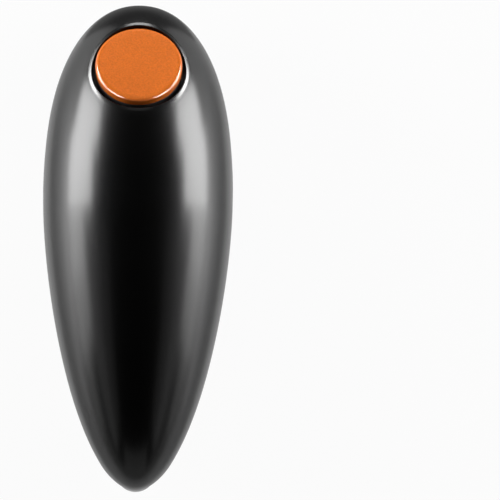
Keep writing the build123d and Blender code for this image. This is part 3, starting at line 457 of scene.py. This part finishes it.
upperForm = {
    "around": 480,
    "domeRows": 84,
    "lipRows": 10,
    "rollRows": 6,
    "innerRows": 24,
    "seamBevel": 0.00022,
    "rebate": 0.0011,
    "rebateHeight": 0.00165,
    "edgeShy": 1e-9,  # keeps the last row of the dome just inside the outline
}


def makeUpperShell(form):
    turns = fullTurn(form["around"])
    radius, roll, seam = wellForm["radius"], wellForm["lipRoll"], bodyForm["seam"]
    ways = wellWays(turns)
    foot = radius + roll + wellForm["lip"]
    ground = wellRing(turns, foot, ringOnSkin(turns, foot))
    normal = skinDistance(ground)[1]
    outward = ways - (ways * normal).sum(1)[:, None] * normal
    outward /= np.linalg.norm(outward, axis=1)[:, None]
    steep, crest = math.radians(wellForm["lipFoot"]), math.radians(wellForm["lipCrest"])
    curve = wellForm["lip"] / (math.sin(steep) - math.sin(crest))
    slope = []
    for k in range(form["lipRows"] + 1):  # the lip, from its crest out to the skin
        turn = crest + (steep - crest) * k / form["lipRows"]
        inward = curve * (math.sin(steep) - math.sin(turn))
        rise = curve * (math.cos(turn) - math.cos(steep))
        slope.append(ground - outward * inward + normal * rise)
    centres = slope[0] - roll * (normal * math.cos(crest) + outward * math.sin(crest))
    rows = [wellRing(turns, radius, -wellForm["depth"])]
    first = -np.arccos(np.clip(-(ways * normal).sum(1), -1, 1))
    for k in range(form["rollRows"]):  # tight roll from the bore to the crest
        turn = (first + (crest - first) * k / form["rollRows"])[:, None]
        rows.append(centres + roll * (normal * np.cos(turn) + outward * np.sin(turn)))
    rows += slope
    outline = outlinePoints(form["around"])
    start = rows[-1][:, :2]
    for k in range(1, form["domeRows"] + 1):  # the dome, from the lip out to the seam
        share = min(1 - (1 - k / form["domeRows"]) ** 2, 1 - form["edgeShy"])
        row = onDome(start + (outline - start) * share)
        row[:, 2] = np.maximum(row[:, 2], seam + form["seamBevel"])
        rows.append(row)

    def level(inset, height):  # the outline drawn in, at a height above the seam
        rise = np.full(form["around"], seam + height)
        return np.column_stack([outlinePoints(form["around"], inset), rise])

    rows.append(level(form["seamBevel"], 0.0))
    rows.append(level(form["rebate"], 0.0))
    rows.append(level(form["rebate"], form["rebateHeight"]))
    inner = level(bodyForm["wall"], form["rebateHeight"])
    rows.append(inner)
    sleeve = radius + wellForm["sleeve"]
    top = wellRing(turns, sleeve, ringOnSkin(turns, sleeve, bodyForm["wall"]))
    for k in range(1, form["innerRows"]):  # the inner skin, from the seam up to the well's sleeve
        share = (k / form["innerRows"]) ** 2
        row = onDome(inner[:, :2] + (top[:, :2] - inner[:, :2]) * share, bodyForm["wall"])
        row[:, 2] = np.maximum(row[:, 2], seam + form["rebateHeight"])
        rows.append(row)
    rows.append(top)
    rows.append(wellRing(turns, sleeve, -wellForm["depth"]))
    piece = loopMesh("upperShell", rows, closed=True)
    piece.data.materials.append(finishes["black_gloss"])
    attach(piece, "casing")
    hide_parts("upper_casing")
    return piece


upperShell = makeUpperShell(upperForm)
print("upper shell:", len(upperShell.data.vertices), "points")


# start button: crowned cap with a rolled edge and a recess underneath, turned about its axis

buttonForm = {
    "around": 192,
    "faceRows": 14,
    "edgeRows": 9,
    "radius": 0.016,
    "crown": 0.0007,
    "edge": 0.0012,
    "cap": 0.0024,
    "height": 0.0040,
    "rimWall": 0.0018,
}


def makeButton(form):
    edge, radius = form["edge"], form["radius"]
    face = radius - edge
    profile = []
    for k in range(1, form["faceRows"] + 1):
        out = face * k / form["faceRows"]
        profile.append((out, -form["crown"] * (out / radius) ** 2))
    slope = math.atan(2 * form["crown"] * face / radius ** 2)
    low = profile[-1][1]
    for k in range(1, form["edgeRows"] + 1):  # rolled edge from the crown's slope to the side wall
        turn = slope + (math.pi / 2 - slope) * k / form["edgeRows"]
        along = (math.sin(turn) - math.sin(slope)) / (1 - math.sin(slope))
        down = (math.cos(slope) - math.cos(turn)) / math.cos(slope)
        profile.append((face + edge * along, low - edge * down))
    profile += [
        (radius, -form["height"]),
        (radius - form["rimWall"], -form["height"]),
        (radius - form["rimWall"], -form["cap"]),
    ]
    turns = fullTurn(form["around"])
    rows = [wellRing(turns, out, height) for out, height in profile]
    piece = loopMesh("startButton", rows)
    piece.data.materials.append(finishes["orange_satin"])
    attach(piece, "button")
    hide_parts("start_button")
    return piece


startButton = makeButton(buttonForm)
print("start button:", len(startButton.data.vertices), "points")

springForm = {
    "radius": 0.0072,
    "wire": 0.00045,  # half its thickness
    "turns": 5,
    "steps": 48,  # rings in a turn
    "around": 12,
    "press": 0.002,  # how far the button shortens it
}


def makeSpring(form):  # coil round the switch
    heights = np.array([tuple(v.co) for v in nodes["button_spring"].data.vertices]) @ wellAxis
    length = float(heights.max() - heights.min())
    foot = wellCentre + wellAxis * (heights.min() - wellCentre @ wellAxis)
    wire, count = form["wire"], form["turns"] * form["steps"]
    bends = fullTurn(form["around"])
    rows = []
    for k in range(count + 1):
        turn = 2 * math.pi * k / form["steps"]
        way = math.cos(turn) * wellAcross + math.sin(turn) * wellUp
        rise = wire + (length - 2 * wire) * k / count
        centre = foot + form["radius"] * way + rise * wellAxis
        ring = np.outer(np.cos(bends), way) + np.outer(np.sin(bends), wellAxis)
        rows.append(centre + wire * ring)
    piece = loopMesh("buttonSpring", rows)
    piece.data.materials.append(finishes["steel"])
    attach(piece, "casing")
    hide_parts("button_spring")
    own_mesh(piece)
    return piece


buttonSpring = makeSpring(springForm)
print("button spring:", len(buttonSpring.data.vertices), "points")


# stage: pale floor that shows white and keeps a soft shadow, and cards that only reflections see

oneFace = [(0, 1, 2, 3)]


def stagePiece(name, points, faces, material):
    material.cycles.emission_sampling = "NONE"  # not a lamp, so it adds no noise
    mesh = bpy.data.meshes.new(name)
    mesh.from_pydata(points, [], faces)
    mesh.materials.append(material)
    piece = bpy.data.objects.new(name, mesh)
    bpy.context.scene.collection.objects.link(piece)
    return piece


floorLook = {
    "size": 6.0,
    "colour": (0.50, 0.50, 0.50),
    "whiteShare": 0.95,  # how much of it shows white to the camera
    "mirrorShare": 0.10,  # and in reflections
}


def makeFloor(look):
    material, wire = bareFinish("paleFloor")
    path = lambda out: wire.make("ShaderNodeLightPath", out=out)
    mirrored = wire.maths("MINIMUM", path("Is Glossy Ray") + path("Is Transmission Ray"), 1.0)
    seen = path("Is Camera Ray") * look["whiteShare"] + mirrored * look["mirrorShare"]
    matt = wire.make("ShaderNodeBsdfDiffuse", None, {"Color": (*look["colour"], 1.0)})
    glow = wire.make("ShaderNodeEmission", None, {"Color": (*white, 1.0), "Strength": 1.0})
    pale = wire.make("ShaderNodeMixShader", None, {0: seen, 1: matt, 2: glow})
    clear = wire.make("ShaderNodeBsdfTransparent")
    under = wire.make("ShaderNodeNewGeometry", out="Backfacing")  # clear from below
    both = wire.make("ShaderNodeMixShader", None, {0: under, 1: pale, 2: clear})
    wire.make("ShaderNodeOutputMaterial", None, {"Surface": both})
    half = look["size"] / 2
    corners = [(-half, -half, 0), (half, -half, 0), (half, half, 0), (-half, half, 0)]
    stagePiece("floor", corners, oneFace, material)


makeFloor(floorLook)


def glowCard(name, points, faces, level, colour, solid=False):  # card that only reflections see
    material, wire, place = startFinish(name)
    sockets = {"Color": colour(wire, place), "Strength": level}
    surface = wire.make("ShaderNodeEmission", None, sockets)
    if not solid:
        clear = wire.make("ShaderNodeBsdfTransparent")
        surface = wire.make("ShaderNodeAddShader", None, {0: surface, 1: clear})
    wire.make("ShaderNodeOutputMaterial", None, {"Surface": surface})
    card = stagePiece(name, points, faces, material)
    card.visible_camera = card.visible_diffuse = False
    card.visible_shadow = card.visible_transmission = False


cardLook = {
    "near": 0.095,
    "far": 2.5,
    "half": (0.042, 0.9),  # half its width at the near and the far end
    "height": 0.002,
    "level": 1.0,
    "pale": 0.26,
    "dark": 0.10,
    "fade": (0.10, 0.15),  # where it goes from pale to dark
}


def makeCard(look):  # grey card ahead of the nose, which covers the floor
    near, far = look["near"], look["far"]
    slim, broad = look["half"]
    corners = [(-slim, near), (slim, near), (broad, far), (-broad, far)]
    points = [(x, y, look["height"]) for x, y in corners]

    def colour(wire, place):
        share = fadeOut(wire, alongAxis(wire, place, "Y"), look["fade"])
        return mixColour(wire, share, (look["dark"],) * 3, (look["pale"],) * 3)

    glowCard("greyCard", points, oneFace, look["level"], colour, solid=True)


makeCard(cardLook)

rimLook = {
    "around": 240,
    "width": 0.032,
    "height": 0.0015,
    "level": 0.29,
    "fade": (0.05, 0.10),  # it fades out towards the nose
}


def makeRimCard(look):  # white border round the body, for the light line along its edge
    count = look["around"]
    rings = np.concatenate([outlinePoints(count), outlinePoints(count, -look["width"])])
    points = [(x, y, look["height"]) for x, y in rings]
    faces = [(k, count + k, count + (k + 1) % count, (k + 1) % count) for k in range(count)]

    def colour(wire, place):
        share = fadeOut(wire, alongAxis(wire, place, "Y"), look["fade"])
        return mixColour(wire, share, black, white)

    glowCard("rimCard", points, faces, look["level"], colour)


makeRimCard(rimLook)

bounceLook = {
    "near": 0.09,
    "far": 0.45,
    "tail": -0.13,
    "nose": 0.14,
    "height": 0.001,
    "level": 1.8,
}


def makeBounce(name, side, look):  # card beside the body, brighter towards the softbox
    near, tail = look["near"], look["tail"]
    wide, long = look["far"] - near, look["nose"] - tail
    corners = [(0, 0), (1, 0), (1, 1), (0, 1)]
    points = [(side * (near + wide * u), tail + long * v, look["height"]) for u, v in corners]

    def colour(wire, place):
        out = alongAxis(wire, place, "X") * side
        part = (alongAxis(wire, place, "Y") - tail) * (1 / long)
        share = (out - near) * (1 / wide) * part * (1.0 - part) * 4.0  # none at the ends
        return mixColour(wire, share, black, white)

    glowCard(name, points, oneFace, look["level"], colour)


hands = (("left", -1), ("right", 1))
for hand, side in hands:
    makeBounce(hand + "Bounce", side, bounceLook)
print("floor and cards set")

lampLook = {
    "side": [  # place across, along and up, then length, height and brightness
        (0.45, 0.235, 0.225, 0.15, 0.35, 4.1),
        (0.45, 0.100, 0.168, 0.12, 0.305, 4.1),
        (0.46, -0.0075, 0.115, 0.095, 0.199, 1.8),
        (0.46, -0.1025, 0.125, 0.095, 0.22, 0.9),
        (0.48, -0.24, 0.085, 0.18, 0.14, 0.15),
        (0.45, 0.4475, 0.285, 0.125, 0.23, 13.6),
        (0.46, -0.28, 0.32, 0.58, 0.17, 0.15),
        (0.46, -0.28, 0.53, 0.58, 0.25, 0.06),
    ],
    "main": 2,  # how many of them light the object; the others only shape the reflection
    "fill": 2.06,  # how much more light than gloss these give
    "glint": (0.46, -0.17, 0.38, 0.42, 0.30, 6.0),  # as the side ones, for the button's edge alone
    "back": (1.0, 0.24, 0.40, 0.18, 3.8),  # place along and up, then width, height and brightness
    "front": (0.69, 0.74, 0.40, 0.14, 0.2),  # the same, high over the nose
    "tail": (-1.0, 0.45, 1.0, 0.45, 0.09),  # the same, beyond the tail
    "topHeight": 1.2,
    "topSize": 1.2,
    "topGlow": 0.22,
}


def makeLamp(name, place, target, size, glow, glossy=True):
    lamp = bpy.data.lights.new(name, "AREA")
    lamp.shape = "RECTANGLE"
    lamp.size, lamp.size_y = size
    lamp.energy = glow * 4 * size[0] * size[1]  # a mirror then shows it at that brightness
    holder = bpy.data.objects.new(name, lamp)
    holder.location = place
    holder.rotation_mode = "QUATERNION"
    holder.rotation_quaternion = (Vector(target) - Vector(place)).to_track_quat("-Z", "Y")
    holder.visible_camera = False
    holder.visible_glossy = glossy
    bpy.context.scene.collection.objects.link(holder)
    return holder


def makeLamps(look):
    for hand, side in hands:
        for k, (out, along, up, length, height, glow) in enumerate(look["side"]):
            name = hand + "Softbox" + str(k + 1)
            place, target, size = (side * out, along, up), (0, along, up), (length, height)
            lamp = makeLamp(name, place, target, size, glow)
            lamp.visible_diffuse = k < look["main"]
            if k < look["main"]:
                makeLamp(name + "Fill", place, target, size, glow * look["fill"], glossy=False)
    glintGroup = bpy.data.collections.new("glintGroup")  # what the glint lamps light
    glintGroup.objects.link(startButton)
    out, along, up, length, height, glow = look["glint"]
    for hand, side in hands:
        place, target = (side * out, along, up), tuple(wellCentre)
        lamp = makeLamp(hand + "Glint", place, target, (length, height), glow)
        lamp.visible_diffuse = False
        lamp.light_linking.receiver_collection = glintGroup
    for part in ("back", "front", "tail"):
        along, up, width, height, glow = look[part]
        lamp = makeLamp(part + "Softbox", (0, along, up), (0, 0, 0), (width, height), glow)
        lamp.visible_diffuse = False
    place, size = (0, 0, look["topHeight"]), (look["topSize"], look["topSize"])
    makeLamp("topFill", place, (0, 0, 0), size, look["topGlow"], glossy=False)


makeLamps(lampLook)

worldLook = {
    "ambient": 0.05,
    "horizonGlow": 0.18,  # what reflections see at the horizon
    "horizonFade": 3.0,  # how fast that fades upwards
}


def makeWorld(look):
    world = bpy.data.worlds.new("studio")
    bpy.context.scene.world = world
    world.use_nodes = True
    world.node_tree.nodes.clear()
    wire = Wire(world.node_tree)
    camera = wire.make("ShaderNodeLightPath", out="Is Camera Ray")
    glossy = wire.make("ShaderNodeLightPath", out="Is Glossy Ray")
    height = alongAxis(wire, wire.make("ShaderNodeTexCoord", out="Generated"), "Z")
    above = wire.maths("MAXIMUM", height, 0.0)
    low = wire.maths("MAXIMUM", 1.0 - above * look["horizonFade"], 0.0)
    level = glossy * low * look["horizonGlow"] + (1.0 - glossy) * look["ambient"]
    strength = camera + (1.0 - camera) * level  # white to the camera
    sockets = {"Color": (*white, 1.0), "Strength": strength}
    sky = wire.make("ShaderNodeBackground", None, sockets)
    wire.make("ShaderNodeOutputWorld", None, {"Surface": sky})


makeWorld(worldLook)

viewLook = {
    "elevation": 84.0,
    "roll": 0.50,
    "lens": 1500.0,
    "sensor": 36.0,
    "frameWidth": 0.1847,  # width of the picture at the seam's level
    "middle": (0.04156, -0.00035, 0.025),  # what the middle of the picture looks at
    "clipEnd": 50.0,
}


def makeCamera(look):
    camera = bpy.data.cameras.new("view")
    camera.lens = look["lens"]
    camera.sensor_width = look["sensor"]
    camera.clip_end = look["clipEnd"]
    holder = bpy.data.objects.new("view", camera)
    lift = math.radians(look["elevation"])
    back = Vector((0, -math.cos(lift), math.sin(lift)))
    distance = look["frameWidth"] * look["lens"] / look["sensor"]
    holder.location = Vector(look["middle"]) + back * distance
    aim = (-back).to_track_quat("-Z", "Y").to_matrix().to_4x4()
    roll = Matrix.Rotation(math.radians(look["roll"]), 4, "Z")
    holder.rotation_mode = "QUATERNION"
    holder.rotation_quaternion = (aim @ roll).to_quaternion()
    bpy.context.scene.collection.objects.link(holder)
    bpy.context.scene.camera = holder


makeCamera(viewLook)
bpy.context.scene.view_settings.view_transform = "Standard"
print("lamps, world and camera set")
